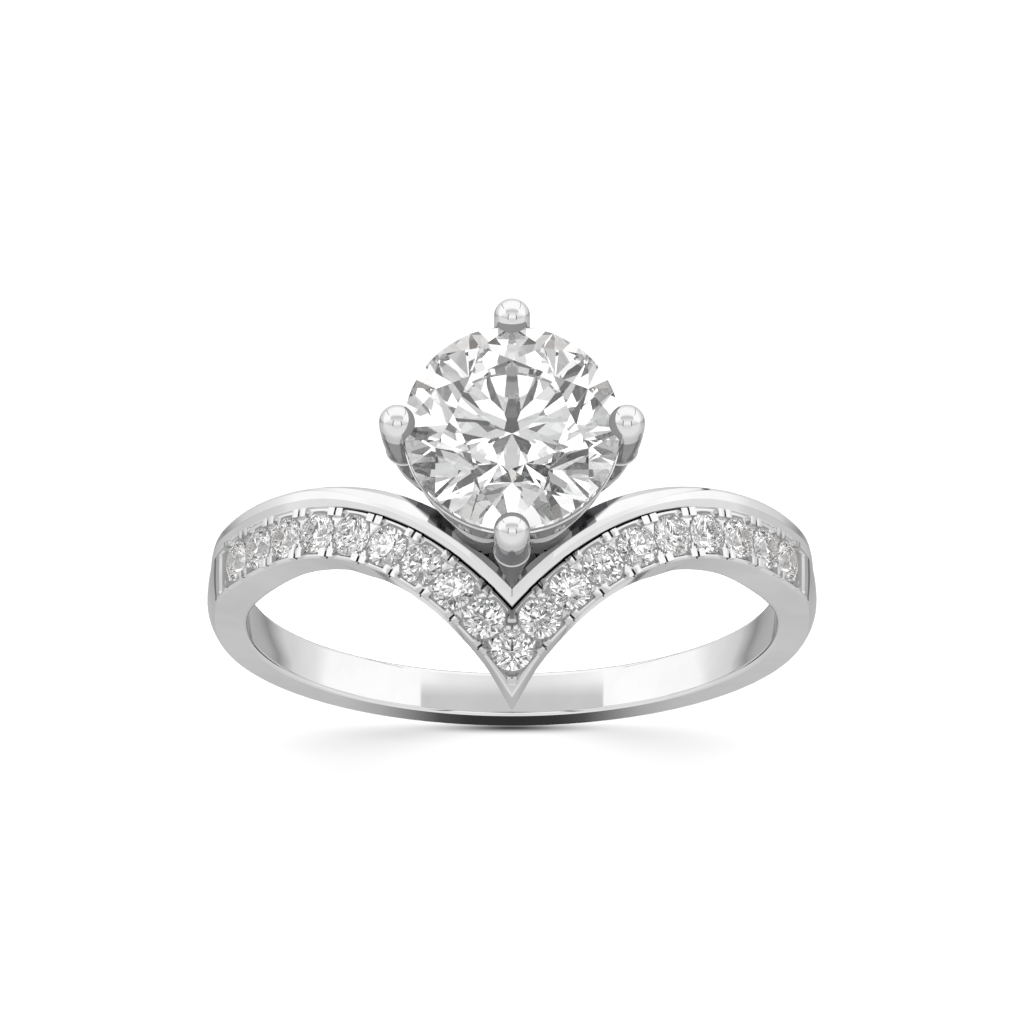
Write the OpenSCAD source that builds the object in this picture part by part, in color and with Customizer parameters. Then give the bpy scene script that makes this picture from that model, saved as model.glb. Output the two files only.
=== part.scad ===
// Pave chevron engagement ring with a four-prong round centre stone, lying on its back.
// The ring is drawn upright: X across the finger, Y along the finger and Z up through the
// centre stone. The last section lays it down, so that it rests on the floor z = 0 with its
// chevron pointing up. All sizes are in millimetres and all angles in degrees.

/* [Finger and band] */
// Inside diameter of the ring
finger_d = 16.5; // [15.5:0.1:18.5]
// Width of the band at the bottom
band_w = 1.5; // [1.3:0.05:1.8]
// Thickness of the band at the bottom, on its centre line
band_t = 1.29; // [1.1:0.01:1.4]
// Rise of the rounded outside of the band between its edges
band_dome = 0.27; // [0.1:0.01:0.35]
// Bevel between the inside of the band and its sides
comfort_edge = 0.16; // [0.1:0.01:0.25]
// Half of the width over which the inside of the band is straight
bore_half_w = 0.5; // [0.3:0.05:0.55]
// How much the inside opens out on both sides of that, in mm of radius per mm of width
bore_flare = 0.02; // [0.005:0.005:0.03]

/* [Chevron] */
// How far the point of the pave line dips in front of the shoulders
chevron_depth = 4.77; // [3.5:0.01:5.5]
// Distance from the middle to where the chevron has levelled out
chevron_reach = 8; // [7.5:0.1:8.5]
// How sharply the chevron gathers towards its point
chevron_power = 2.2; // [1.8:0.1:2.6]
// Radial thickness of the pave rail
pave_t = 1.37; // [1.3:0.01:1.5]
// Half of the pave rail's width
pave_half_w = 0.79; // [0.76:0.01:0.9]
// Width of the polished rail at the point of the chevron
rail_w = 0.85; // [0.7:0.01:0.95]
// Height of the polished rail's ridge over the pave rail, at the point
ridge_rise = 0.31; // [0.15:0.01:0.4]
// Undercut of the chevron's front wall
front_lean = 0.38; // [0:0.01:0.45]

/* [Pave stones] */
// Diameter of a pave stone
pave_d = 1.28; // [1.1:0.01:1.3]
// Distance between neighbouring pave stones
pave_pitch = 1.347; // [1.345:0.001:1.38]
// Diameter of the beads that hold them
bead_d = 0.24; // [0.16:0.01:0.26]

/* [Centre stone and head] */
// Diameter of the centre stone
stone_d = 6.4; // [6:0.05:6.5]
// Height of the centre stone's girdle over the finger's axis
stone_z = 15.26; // [14.9:0.02:15.4]
// Diameter of the prongs and their ball tips
prong_d = 1.07; // [0.9:0.01:1.2]
// Distance of the ball tips from the stone's axis
prong_r = 3.39; // [3.35:0.01:3.45]
// Height of the ball tips' centres over the finger's axis
prong_z = 15.7; // [15.5:0.05:15.9]
// Radius of the cup under the stone, where it meets the rails
cup_foot_r = 2.1; // [1.9:0.05:2.3]

/* [Hidden] */
finger_r = finger_d / 2;
band_r = finger_r + band_t;
pave_r = finger_r + pave_t;
shoulder_y = -0.16;
// Shapes reach this far inside the finger bore, which is then cut out of them
core_r = finger_r - 0.25;
// Clearance between a stone and its metal
seat_gap = 0.04;

// Proportions of a round brilliant, as shares of its diameter
table_share = 0.54;
crown_share = 0.154;
girdle_share = 0.045;
pavilion_share = 0.43;
star_share = 0.525;
lower_share = 0.215;
brilliant_sides = 8;

// The channel that the pave stones lie in
channel_half_w = 0.685;
channel_lip = 0.12;
channel_depth = 0.69;
channel_floor_w = 0.1;
channel_end = 70.5;
girdle_sink = 0.07;

// Where blends along the band start and end, in degrees from the top
shoulder_blend = [60, 100];
outside_blend = [66, 90];

// The band's sections, at these angles from the top
half_sweep = concat(
    [0, 1.5, 3, 4.5, 6, 8],
    [for (a = [10 : 2.5 : 67.5]) a],
    [69.5, 71.5, 74, 78],
    [for (a = [84 : 6 : 174]) a],
    [177]);
sweep = concat(half_sweep, [for (i = [len(half_sweep) - 1 : -1 : 1]) -half_sweep[i]]);

function mix(a, b, f) = a + (b - a) * f;
function ease(ends, t) =
    let (f = min(1, max(0, (t - ends[0]) / (ends[1] - ends[0])))) f * f * (3 - 2 * f);

// The pave line at an angle t from the top: its y, its slope on the unrolled band, and how
// much a width across the line grows when it is measured along Y
function chevron_left(t) = t < 90 ? max(0, 1 - pave_r * sin(t) / chevron_reach) : 0;
function line_y(t) = shoulder_y * (1 - ease(shoulder_blend, t))
    - chevron_depth * pow(chevron_left(t), chevron_power);
function line_slope(t) = t >= 90 ? 0
    : cos(t) * chevron_depth * chevron_power / chevron_reach
        * pow(chevron_left(t), chevron_power - 1);
function widen(t) = sqrt(1 + pow(line_slope(t), 2));

// Lines along the band at an angle t: its front edge, the split between the pave and the
// polished rail, the polished rail's ridge and the back edge
function front_y(t) = mix(
    line_y(t) - pave_half_w * widen(t) - 0.2 * (1 - ease([0, 6], t)),
    -band_w / 2, ease(shoulder_blend, t));
function split_y(t) = line_y(t) + pave_half_w * widen(t);
function back_y(t) = mix(
    split_y(t) + widen(t) * mix(rail_w, 0.64, ease([8, 48], t)),
    band_w / 2, ease([54, 100], t));
function ridge_y(t) = mix(
    split_y(t) + widen(t) * mix(0.33, 0.52, ease([22, 42], t)),
    back_y(t) - 0.12, ease([35, 55], t));
function ridge_r(t) = pave_r + mix(ridge_rise, 0.1, ease([12, 48], t));

// The outside of the section with both rails: rows of [radius, y], front to back
function railed(t) =
    let (k = widen(t), c = line_y(t), s = split_y(t), b = back_y(t), q = ridge_y(t),
        groove = 1 - ease([14, 34], t), step = 1 - ease([14, 40], t))
    [[pave_r - 0.07, front_y(t)],
     [pave_r, front_y(t) + 0.06 * k],
     [pave_r, c - channel_half_w * k],
     [pave_r - channel_lip, c - channel_half_w * k],
     [pave_r - channel_depth, c - channel_floor_w * k],
     [pave_r - channel_depth, c + channel_floor_w * k],
     [pave_r - channel_lip, c + channel_half_w * k],
     [pave_r, c + channel_half_w * k],
     [pave_r, s - 0.045 * k],
     [pave_r - mix(0.02, 0.3, groove), s + 0.01 * k],
     [pave_r + mix(0.02, 0.13, step), s + 0.06 * k],
     [mix(pave_r + 0.06, ridge_r(t), 0.75), mix(s, q, 0.55)],
     [ridge_r(t), q],
     [mix(ridge_r(t), pave_r, 0.4), mix(q, b, 0.5)],
     [pave_r - 0.1, b]];

// The outside of the plain section, an arch, at the same places across the band
arch_steps = [-1, -0.9, -0.75, -0.6, -0.35, -0.1, 0.1, 0.25, 0.35, 0.45, 0.55, 0.7, 0.85, 0.93, 1];
function arched(t) = [for (f = arch_steps)
    [band_r - band_dome * f * f, mix(front_y(t), back_y(t), (f + 1) / 2)]];

// The whole section: from the front of the bore round the outside to the back of the bore
function section(t) =
    let (rails = railed(t), arch = arched(t), f = 1 - ease(outside_blend, t),
        lean = front_lean * (1 - ease([34, 50], t)), deep = comfort_edge + finger_r - core_r)
    concat(
        [[core_r, front_y(t) + lean + deep], [finger_r + comfort_edge, front_y(t) + lean]],
        [for (i = [0 : len(rails) - 1])
            i > 2 && i < 7 && t > channel_end ? arch[i] : mix(arch[i], rails[i], f)],
        [[finger_r + comfort_edge, back_y(t)], [core_r, back_y(t) - deep]]);

function on_band(r, y, a) = [r * sin(a), y, r * cos(a)];

// Triangles between rings of points; the rings close on themselves when there are no ends
function skin_faces(rings, n, closed) = [
    for (i = [0 : rings - (closed ? 1 : 2)], j = [0 : n - 1])
        let (a = i * n + j, b = i * n + (j + 1) % n,
            c = ((i + 1) % rings) * n + (j + 1) % n, d = ((i + 1) % rings) * n + j)
        each [[a, b, c], [a, c, d]]];

module swept_band() {
    rings = [for (a = sweep) [for (p = section(abs(a))) on_band(p[0], p[1], a)]];
    polyhedron(points = [for (r = rings) each r],
        faces = skin_faces(len(rings), len(rings[0]), true), convexity = 10);
}

// Places of the pave stones: the length of the pave line from its point to each angle
line_step = 0.5;
function line_length(t) = t <= 0 ? 0
    : line_length(t - line_step) + pave_r * line_step * PI / 180 * widen(t - line_step / 2);
line_table = [for (t = [0 : line_step : 72]) [line_length(t), t]];
function angle_at(s) = sign(s) * lookup(abs(s), line_table);
pave_per_arm = 9;
pave_count = 2 * pave_per_arm + 1;

// Moves its children to a place on the pave line, a length s along it from the point, with
// their Z outwards and their X along the line
module on_line(s, across = 0, along = 0, rise = 0) {
    t = angle_at(s);
    turn = -sign(s) * atan(line_slope(abs(t)));
    rotate([0, t, 0]) translate([0, line_y(abs(t)), pave_r])
        rotate([0, 0, -turn]) translate([along, across, rise]) children();
}

// A round brilliant with its girdle at z = 0, its table up and a main facet towards +Y.
// Each girdle facet meets the girdle in a curve of `steps` pieces.
module brilliant(d, steps) {
    r = d / 2;
    g = girdle_share * r;
    table_r = table_share * r;
    table_z = g + crown_share * d;
    culet_z = -g - pavilion_share * d;
    flat = cos(180 / brilliant_sides);
    star_r = mix(table_r * flat, r, star_share);
    star_z = g + (r - star_r * flat) * (table_z - g) / (r - table_r);
    lower_r = lower_share * r;
    lower_z = culet_z + lower_r * flat * (-g - culet_z) / r;
    half_turn = 180 / brilliant_sides;
    n = brilliant_sides;
    m = 2 * n * steps;
    // How far a girdle facet has fallen between its corners, at a share f along it
    arc = half_turn / 2;
    function sag(f, rise, run) =
        (r * cos(mix(-arc, arc, f)) - r * cos(arc)) * rise / (r * cos(arc) - run * cos(arc));
    upper = [for (i = [0 : m - 1]) let (a = i * half_turn / steps, f = (i % steps) / steps)
        [r * sin(a), r * cos(a), g - sag(f, star_z - g, star_r)]];
    lower = [for (i = [0 : m - 1]) let (a = i * half_turn / steps, f = (i % steps) / steps)
        [r * sin(a), r * cos(a), -g + sag(f, -g - lower_z, lower_r)]];
    table = [for (i = [0 : n - 1]) let (a = 2 * i * half_turn)
        [table_r * sin(a), table_r * cos(a), table_z]];
    star = [for (i = [0 : n - 1]) let (a = (2 * i + 1) * half_turn)
        [star_r * sin(a), star_r * cos(a), star_z]];
    low = [for (i = [0 : n - 1]) let (a = (2 * i + 1) * half_turn)
        [lower_r * sin(a), lower_r * cos(a), lower_z]];
    u = 0;
    l = m;
    tb = 2 * m;
    st = tb + n;
    lo = st + n;
    cu = lo + n;
    polyhedron(
        points = concat(upper, lower, table, star, low, [[0, 0, culet_z]]),
        faces = concat(
            [[for (i = [0 : n - 1]) tb + i]],
            [for (i = [0 : n - 1]) [tb + i, st + i, tb + (i + 1) % n]],
            [for (i = [0 : n - 1])
                [tb + i, st + (i + n - 1) % n, u + 2 * steps * i, st + i]],
            [for (i = [0 : n - 1], h = [0, 1])
                concat([st + i], [for (j = [steps * h : steps * (h + 1)])
                    u + (2 * steps * i + j) % m])],
            [for (i = [0 : m - 1]) each [
                [u + i, l + i, l + (i + 1) % m], [u + i, l + (i + 1) % m, u + (i + 1) % m]]],
            [for (i = [0 : n - 1], h = [0, 1])
                concat([lo + i], [for (j = [steps * (h + 1) : -1 : steps * h])
                    l + (2 * steps * i + j) % m])],
            [for (i = [0 : n - 1])
                [lo + i, l + 2 * steps * i, lo + (i + n - 1) % n, cu]]),
        convexity = 4);
}

// The room that the centre stone takes in its head, a little larger than the stone
module stone_room() {
    r = stone_d / 2 + seat_gap;
    g = girdle_share * stone_d / 2 + seat_gap;
    table_r = table_share * stone_d / 2;
    translate([0, 0, stone_z]) rotate_extrude($fn = 96) polygon([
        [0, -g - pavilion_share * stone_d - seat_gap], [r, -g], [r, g],
        [table_r, g + crown_share * stone_d], [table_r, g + 2], [0, g + 2]]);
}

// A prong: rows of height, distance of its outer face from the axis, width and depth
leg_rows = [
    [9.1, 2.7, 0.42, 0.8],
    [9.9, 2.78, 0.46, 0.82],
    [10.8, 3.0, 0.58, 0.85],
    [11.7, 3.32, 0.74, 0.9],
    [12.5, 3.56, 0.9, 0.94],
    [13.1, 3.69, 1.02, 1.03],
    [13.7, 3.77, 1.07, 1.07],
    [14.6, 3.86, 1.07, 1.07]];
// Its ball tip, by degrees over the ball's widest place
ball_rows = [for (a = [0, 22.5, 45, 67.5, 82]) [prong_z + prong_d / 2 * sin(a),
    prong_r + prong_d / 2 * cos(a), prong_d * cos(a), prong_d * cos(a)]];
prong_sides = 16;
prong_count = 4;

module prong() {
    rows = concat(leg_rows, ball_rows);
    n = prong_sides;
    last = (len(rows) - 1) * n;
    polyhedron(
        points = [for (row = rows, j = [0 : n - 1]) let (a = 360 * j / n)
            [-row[2] / 2 * sin(a), -row[1] + row[3] / 2 * (1 - cos(a)), row[0]]],
        faces = concat(skin_faces(len(rows), n, false),
            [[for (j = [n - 1 : -1 : 0]) j]], [[for (j = [0 : n - 1]) last + j]]),
        convexity = 4);
}

// The cup that joins the prongs under the stone: rows of radius and height
cup_wall = 0.42;
cup_rows = [
    [cup_foot_r, 9.3],
    [cup_foot_r + 0.02, 9.9],
    [cup_foot_r + 0.22, 11],
    [cup_foot_r + 0.55, 12.3],
    [cup_foot_r + 0.87, 13.6],
    [stone_d / 2 + 0.03, 14.9]];

module cup() {
    rotate_extrude($fn = 96) polygon(concat(cup_rows,
        [for (i = [len(cup_rows) - 1 : -1 : 0]) [cup_rows[i][0] - cup_wall, cup_rows[i][1]]]));
}

module head() {
    difference() {
        union() {
            cup();
            for (a = [0 : 360 / prong_count : 359]) rotate([0, 0, a]) prong();
        }
        stone_room();
    }
}

// Four beads between each two pave stones, a last pair at each end of the channel, and one on
// each side of the stone at the point. The inner side has no room for four there.
bead_across = 0.66;
bead_along = 0.14;
point_bead_y = [line_y(0) - 0.98, line_y(0) + 1.08];
module beads() {
    for (side = [-1, 1], i = [0 : pave_per_arm], across = [-1, 1], along = [-1, 1])
        if ((i < pave_per_arm || along * side < 0) && (i > 0 || across < 0))
            on_line(side * (i + 0.5) * pave_pitch, across * bead_across, along * bead_along)
                sphere(d = bead_d, $fn = 16);
    for (y = point_bead_y) translate([0, y, pave_r]) rotate([20, 15, 10])
        sphere(d = 1.2 * bead_d, $fn = 16);
}

// The finger bore. It opens out a little towards both ends, so that it doesn't pinch.
module finger_bore() {
    end = 15;
    end_r = finger_r + bore_flare * (end - bore_half_w);
    rotate([90, 0, 0]) rotate_extrude($fn = 180) polygon([
        [0, -end], [end_r, -end], [finger_r, -bore_half_w],
        [finger_r, bore_half_w], [end_r, end], [0, end]]);
}

module ring_metal() {
    difference() {
        union() {
            swept_band();
            head();
            beads();
        }
        finger_bore();
    }
}

// How the ring lies: it leans back on the ball tip behind the stone and on the edge of the
// band, by the angle between the floor and the finger's axis
foot_z = band_r - band_dome - 0.02;
foot_y = band_w / 2;
rest_reach = [prong_z + foot_z, prong_r - foot_y];
rest_angle = atan(rest_reach[1] / rest_reach[0])
    + asin(prong_d / 2 / norm(rest_reach));
rest_drop = foot_y * cos(rest_angle) + foot_z * sin(rest_angle);
// The same turn leaves the ring's two ends this far from being centred on the origin
rest_shift = (prong_z * cos(rest_angle) + prong_r * sin(rest_angle) + prong_d / 2
    - band_r * cos(rest_angle)) / 2;
module lay() {
    translate([0, rest_shift, rest_drop]) rotate([-rest_angle, 0, 0]) rotate([-90, 0, 180])
        children();
}

function pave_name(i) = str("pave_stone_", i < 10 ? "0" : "", i);

module metal() {
    color("gainsboro") lay() ring_metal();
}

module centre_stone() {
    color("azure") lay() translate([0, 0, stone_z]) brilliant(stone_d, 4);
}

// Stone i of the row, counted from one end of it to the other
module pave_stone(i) {
    color("azure") lay() on_line((i - pave_per_arm - 1) * pave_pitch, rise = -girdle_sink)
        brilliant(pave_d, 2);
}

metal();
centre_stone();
for (i = [1 : pave_count])
    pave_stone(i);
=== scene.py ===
from math import atan, cos, degrees, pi, radians, sin, sqrt

import bmesh
import bpy
from mathutils import Matrix, Vector


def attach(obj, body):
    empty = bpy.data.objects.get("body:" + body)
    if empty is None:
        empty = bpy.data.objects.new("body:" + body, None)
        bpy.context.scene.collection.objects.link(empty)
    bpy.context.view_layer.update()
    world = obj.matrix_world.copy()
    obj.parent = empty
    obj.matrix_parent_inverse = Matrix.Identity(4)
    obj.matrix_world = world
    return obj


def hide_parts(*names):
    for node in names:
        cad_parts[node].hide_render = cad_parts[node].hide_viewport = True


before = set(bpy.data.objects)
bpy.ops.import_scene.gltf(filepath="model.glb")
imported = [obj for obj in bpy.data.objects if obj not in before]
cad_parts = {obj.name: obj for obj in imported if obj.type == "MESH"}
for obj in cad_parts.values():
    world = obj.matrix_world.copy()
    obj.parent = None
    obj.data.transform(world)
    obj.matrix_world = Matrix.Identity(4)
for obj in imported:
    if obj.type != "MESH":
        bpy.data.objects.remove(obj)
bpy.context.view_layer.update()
print("stage: frame loaded")

scene = bpy.context.scene
mm = 0.001
worldGain = 1 / 0.8  # makes up for what the metal takes from the light
sharpAngle = 32  # degrees between faces from which an edge of the metal stays sharp

# The ring is worked out upright, in millimetres: X across the finger, Y along it and Z up
# through the centre stone. lie() turns it onto its back, as the solids have it.
lying = {
    "turn": 7.26194,  # degrees between the floor and the finger's axis
    "drop": 1.91324,
    "shift": 3.53705,
}


def turned(x, y, z):
    a = radians(lying["turn"])
    return Vector((-x, -z * cos(a) - y * sin(a), z * sin(a) - y * cos(a)))


def lie(x, y, z):
    return (turned(x, y, z) + Vector((0, lying["shift"], lying["drop"]))) * mm


lyingTurn = Matrix((turned(1, 0, 0), turned(0, 1, 0), turned(0, 0, 1))).transposed()
lyingPlace = Vector((0, lying["shift"], lying["drop"])) * mm


def mix(a, b, f):
    return a + (b - a) * f


def shareOf(start, end, t):
    # how far t has come from start to end, from 0 to 1
    return min(1, max(0, (t - start) / (end - start)))


def ease(start, end, t):
    f = shareOf(start, end, t)
    return f * f * (3 - 2 * f)


def fromRows(rows, key, way):
    # the value at a key, between rows of key and value
    for (key0, value0), (key1, value1) in zip(rows, rows[1:]):
        if key <= key1:
            return mix(value0, value1, way(key0, key1, key))
    return rows[-1][1]


def linear(value):
    # a display value from 0 to 255 as scene light
    v = value / 255
    return v / 12.92 if v < 0.04 else ((v + 0.055) / 1.055) ** 2.4


# Materials

def nodesOf(owner):
    owner.use_nodes = True
    tree = owner.node_tree
    tree.nodes.clear()
    return tree


def addNode(tree, kind, fed=None, **values):
    # a node with its settings, and with links or plain values for its inputs
    node = tree.nodes.new(kind)
    for key, value in values.items():
        setattr(node, key, value)
    for label, value in (fed or {}).items():
        if isinstance(value, bpy.types.NodeSocket):
            tree.links.new(value, node.inputs[label])
        else:
            node.inputs[label].default_value = value
    return node


def mathNode(tree, operation, *values, clamp=False):
    node = addNode(tree, "ShaderNodeMath", dict(enumerate(values)),
                   operation=operation, use_clamp=clamp)
    return node.outputs[0]


def dotNode(tree, direction, vector):
    node = addNode(tree, "ShaderNodeVectorMath", {0: direction, 1: vector},
                   operation="DOT_PRODUCT")
    return node.outputs["Value"]


def blendNode(tree, factor, a, b):
    node = addNode(tree, "ShaderNodeMix", {"Factor": factor, "A": a, "B": b}, data_type="RGBA")
    return node.outputs["Result"]


def softStep(tree, value, low, high):
    node = addNode(tree, "ShaderNodeMapRange", {"Value": value, "From Min": low, "From Max": high},
                   interpolation_type="SMOOTHSTEP")
    return node.outputs["Result"]


def grainNode(tree, place, scale, detail=2):
    node = addNode(tree, "ShaderNodeTexNoise", {"Vector": place, "Scale": scale, "Detail": detail})
    return node.outputs["Fac"]


def tintNode(tree, factor, low, high, span=(0, 1)):
    # a ramp between two colours
    node = addNode(tree, "ShaderNodeValToRGB", {"Fac": factor})
    for spot, place, colour in zip(node.color_ramp.elements, span, (low, high)):
        spot.position = place
        spot.color = colour
    return node.outputs["Color"]


def greyLight(level):
    # the light that metal shows as a display value
    return (linear(level) * worldGain,) * 3 + (1,)


def levelRamp(tree, value, rows):
    # a ramp of grey light: place from 0 to 1 and display value
    node = addNode(tree, "ShaderNodeValToRGB", {"Fac": value})
    spots = node.color_ramp.elements
    spots.remove(spots[-1])
    for i, (place, level) in enumerate(rows):
        spot = spots[0] if i == 0 else spots.new(place)
        spot.position = place
        spot.color = greyLight(level)
    return node.outputs["Color"]


gold = {
    "colour": (0.8, 0.8, 0.8, 1),
    "tintColour": (0.765, 0.765, 0.77, 1),
    "tintSpan": (0.35, 0.6),  # of the noise, between which the colours blend
    "roughness": (0.035, 0.085),
    "roughSpan": (0.3, 0.7),
    "polishScale": 900,
    "polishDetail": 4,
    "scratchScale": 2600,
    "scratchDetail": 6,
    "scratchStretch": (1, 0.12, 1),
    "scratchStrength": 0.2,
    "scratchDepth": 0.0000004,
    "edgeTint": (0.78, 0.78, 0.785, 1),  # of its gloss at a glancing angle
}


def shadeColour(tree, place, colour, shade):
    # paints shade: darkens a colour on the inner side of two slanting lines, one on each side of
    # the ring
    across, along = (n / mm for n in shade["normal"])
    axis = turned(0, 1, 0)
    split = addNode(tree, "ShaderNodeSeparateXYZ", {"Vector": place})
    side = mathNode(tree, "ABSOLUTE", split.outputs["X"])
    reach = mathNode(tree, "MULTIPLY_ADD", side, across, dotNode(tree, place, axis * along))
    middle = lie(0, 0, 0).dot(axis) * along - shade["offset"]
    soft = softStep(tree, reach, middle - shade["softness"], middle + shade["softness"])
    return blendNode(tree, soft, colour, shade["colour"])


def makeGold(name, settings):
    material = bpy.data.materials.new(name)
    tree = nodesOf(material)
    place = addNode(tree, "ShaderNodeTexCoord").outputs["Object"]
    polish = grainNode(tree, place, settings["polishScale"], settings["polishDetail"])
    colour = tintNode(tree, polish, settings["tintColour"], settings["colour"],
                      settings["tintSpan"])
    if "shade" in settings:
        colour = shadeColour(tree, place, colour, settings["shade"])
    (fromMin, fromMax), (toMin, toMax) = settings["roughSpan"], settings["roughness"]
    rough = addNode(tree, "ShaderNodeMapRange", {
        "Value": polish, "From Min": fromMin, "From Max": fromMax,
        "To Min": toMin, "To Max": toMax})
    stretch = addNode(tree, "ShaderNodeMapping", {
        "Vector": place, "Scale": settings["scratchStretch"]})
    scratches = grainNode(tree, stretch.outputs["Vector"], settings["scratchScale"],
                          settings["scratchDetail"])
    bump = addNode(tree, "ShaderNodeBump", {
        "Height": scratches, "Strength": settings["scratchStrength"],
        "Distance": settings["scratchDepth"]})
    shader = addNode(tree, "ShaderNodeBsdfPrincipled", {
        "Base Color": colour, "Metallic": 1, "Roughness": rough.outputs["Result"],
        "Specular Tint": settings["edgeTint"], "Normal": bump.outputs["Normal"]})
    addNode(tree, "ShaderNodeOutputMaterial", {"Surface": shader.outputs["BSDF"]})
    return material


shadedGold = dict(gold, colour=(0.38, 0.38, 0.385, 1), tintColour=(0.34, 0.34, 0.345, 1))
# darker and rougher than the gold: a satin finish, with painted shade in its darker colour
satinShadeGold = dict(gold, colour=(0.25, 0.25, 0.255, 1), tintColour=(0.22, 0.22, 0.225, 1),
                 roughness=(0.35, 0.45))
# a little darker than the gold: painted shade
flankShadeGold = dict(gold, colour=(0.6, 0.6, 0.605, 1), tintColour=(0.55, 0.55, 0.555, 1))
channelGold = dict(gold, colour=(0.82, 0.82, 0.825, 1), tintColour=(0.72, 0.72, 0.725, 1))
# near black: painted shade in the cuts, in the groove beside the polished rail, behind the ridge
# and along the bore's back edge
cutShadeGold = dict(gold, colour=(0.1, 0.1, 0.105, 1), tintColour=(0.07, 0.07, 0.073, 1),
               roughness=(0.3, 0.5), polishScale=4000, scratchScale=6000,
               scratchDepth=0.000001, edgeTint=(0.5, 0.5, 0.505, 1))

# Polished gold with painted shade beside the head, dark on the inner side of a slanting line
recessShadeGold = dict(gold, shade={
    "normal": (-0.747, 0.665),  # of the line where the shade starts: across, along the finger
    "offset": 2.337,
    "softness": 0.06,
    "colour": (0.14, 0.14, 0.145, 1),
})

diamond = {
    "colour": (1, 1, 1, 1),
    "hazeColour": (0.985, 0.99, 1, 1),
    "hazeSpan": (0.4, 0.6),
    "hazeScale": 700,
    "hazeDetail": 3,
    "ior": 2.417,
    "glowSeenInMetal": (0.36, 0.36, 0.365, 1),
}
paveDiamond = dict(diamond, hazeScale=1500, glowSeenInMetal=(0.4, 0.4, 0.405, 1))


def makeDiamond(name, settings):
    material = bpy.data.materials.new(name)
    tree = nodesOf(material)
    place = addNode(tree, "ShaderNodeTexCoord").outputs["Object"]
    haze = grainNode(tree, place, settings["hazeScale"], settings["hazeDetail"])
    colour = tintNode(tree, haze, settings["hazeColour"], settings["colour"],
                      settings["hazeSpan"])
    shader = addNode(tree, "ShaderNodeBsdfPrincipled", {
        "Base Color": colour, "Transmission Weight": 1, "IOR": settings["ior"], "Roughness": 0})
    # a painted glow: to soft glossy rays the stone glows a flat grey, which polished metal beside
    # it mirrors without the grain of its facets
    path = addNode(tree, "ShaderNodeLightPath")
    plain = mathNode(tree, "SUBTRACT", path.outputs["Is Glossy Ray"],
                     path.outputs["Is Singular Ray"], clamp=True)
    glow = addNode(tree, "ShaderNodeEmission", {"Color": settings["glowSeenInMetal"]})
    either = addNode(tree, "ShaderNodeMixShader", {
        0: plain, 1: shader.outputs["BSDF"], 2: glow.outputs["Emission"]})
    addNode(tree, "ShaderNodeOutputMaterial", {"Surface": either.outputs["Shader"]})
    return material


goldMaterial = makeGold("polishedWhiteGold", gold)
shadedMaterial = makeGold("shadedWhiteGold", shadedGold)
flankShadeMaterial = makeGold("flankShadedWhiteGold", flankShadeGold)
satinShadeMaterial = makeGold("satinShadedWhiteGold", satinShadeGold)
channelMaterial = makeGold("channelWhiteGold", channelGold)
recessShadeMaterial = makeGold("recessShadedWhiteGold", recessShadeGold)
cutShadeMaterial = makeGold("shadedCut", cutShadeGold)
diamondMaterial = makeDiamond("diamond", diamond)
paveMaterial = makeDiamond("paveDiamond", paveDiamond)


def closedMesh(name, points, faces):
    mesh = bpy.data.meshes.new(name)
    mesh.from_pydata(points, [], faces)
    work = bmesh.new()
    work.from_mesh(mesh)
    bmesh.ops.recalc_face_normals(work, faces=work.faces)
    work.to_mesh(mesh)
    work.free()
    return mesh


def placePiece(name, mesh):
    mesh.shade_smooth()
    mesh.set_sharp_from_angle(angle=radians(sharpAngle))
    piece = bpy.data.objects.new(name, mesh)
    scene.collection.objects.link(piece)
    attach(piece, "root")
    return piece


def addPiece(name, points, faces, material):
    # a closed mesh from points in the upright ring's millimetres
    mesh = closedMesh(name, [lie(*p) for p in points], faces)
    mesh.materials.append(material)
    return placePiece(name, mesh)


def paintFaces(piece, material, faces):
    # gives some of a piece's faces a material of their own
    slot = len(piece.data.materials)
    piece.data.materials.append(material)
    for face in faces:
        piece.data.polygons[face].material_index = slot


def ringFaces(rings, count, closed):
    # faces between rings of points: round again to the first ring, or with a cap on both ends
    faces = []
    for i in range(rings if closed else rings - 1):
        for j in range(count):
            k = (j + 1) % count
            n = (i + 1) % rings
            faces.append((i * count + j, i * count + k, n * count + k, n * count + j))
    if not closed:
        last = (rings - 1) * count
        faces += [tuple(range(count)), tuple(range(last, last + count))]
    return faces


# The band

band = {
    "fingerRadius": 8.25,
    "straightHalf": 0.5,  # half of the bore's straight width
    "flare": 0.02,
    "boreDome": 0.03,  # how far the bore's edges lie outside its middle
    "comfortEdge": 0.16,
    "radius": 9.54,
    "width": 1.5,
    "dome": 0.27,
    # pairs called span are the degrees from the top between which one form becomes another
    "shoulderSpan": (60, 100),
    "backSpan": (54, 100),
    "archSpan": (66, 90),
    "paveRadius": 9.62,
    "paveHalf": 0.79,
    "pointReach": 0.2,  # how much farther the very point runs
    "pointSpan": (0, 6),
    # degrees from the top, and how far the front face leans back there
    "frontLean": [(0, 0), (7, -0.01), (14, -0.04), (20, -0.06), (26, -0.08), (31, -0.11),
                  (37, -0.03), (42, -0.02), (50, 0), (180, 0)],
    "frontEdge": 0.07,  # fillet of the bore's front edge under the chevron
    "frontEdgeSpan": (36, 50),
    "boreSteps": 7,
    "chevronDepth": 4.77,
    "chevronReach": 8,
    "chevronPower": 2.2,
    "shoulderY": -0.16,
    "channelHalf": 0.685,
    "channelDepth": 0.05,  # between the seats of the stones
    "channelColumns": 20,
    "channelEnd": 70.5,
    "seatRadius": 0.665,
    "seatDepth": 0.13,
    "seatSlope": 0.9,
    "pavePitch": 1.347,
    "pavePerArm": 9,
}


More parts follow.
